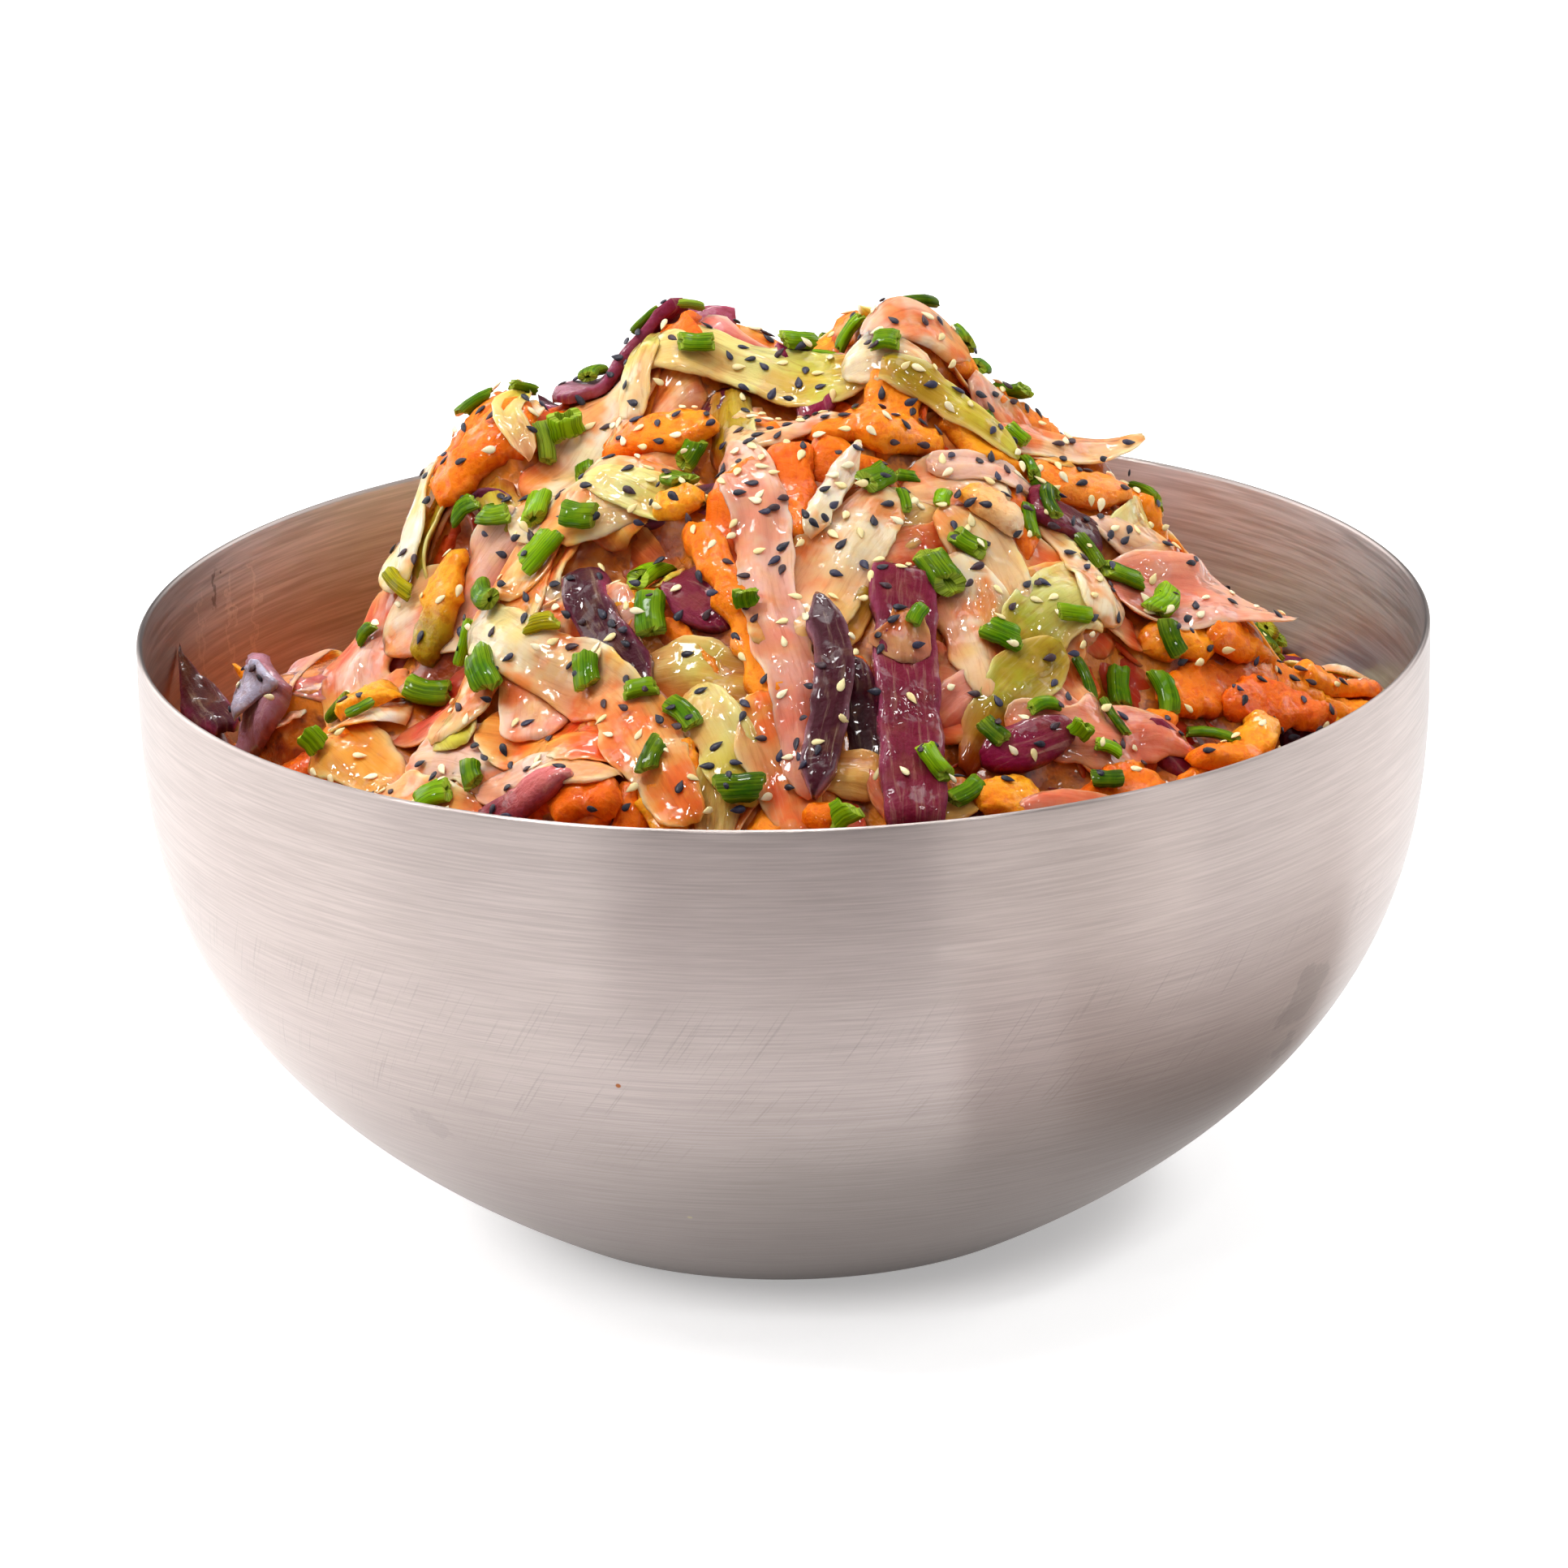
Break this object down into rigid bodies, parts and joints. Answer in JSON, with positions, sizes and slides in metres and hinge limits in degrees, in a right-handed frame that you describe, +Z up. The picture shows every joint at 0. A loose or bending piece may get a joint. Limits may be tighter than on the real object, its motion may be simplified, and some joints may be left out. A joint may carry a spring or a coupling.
{
  "type": "coleslaw in a steel bowl",
  "caption": "A heaped salad of shredded cabbage and carrot with chives and sesame in a round, thin-walled, flat-bottomed metal bowl.",
  "frame": {"origin": "middle of the bowl's flat foot, on the surface that it stands on", "axes": "+Z up out of the bowl, -Y towards the front, where the slaw reaches the rim, +X to the right"},
  "size_m": [0.2, 0.2, 0.1484],
  "materials": {
    "steel": "fine brushing round the bowl, satin, lightly scratched",
    "slaw": "moist shreds in a thin creamy dressing: cream, peach, orange, green and purple"
  },
  "bodies": {
    "root": {"bowl": "steel", "slaw": "slaw"}
  },
  "joints": []
}
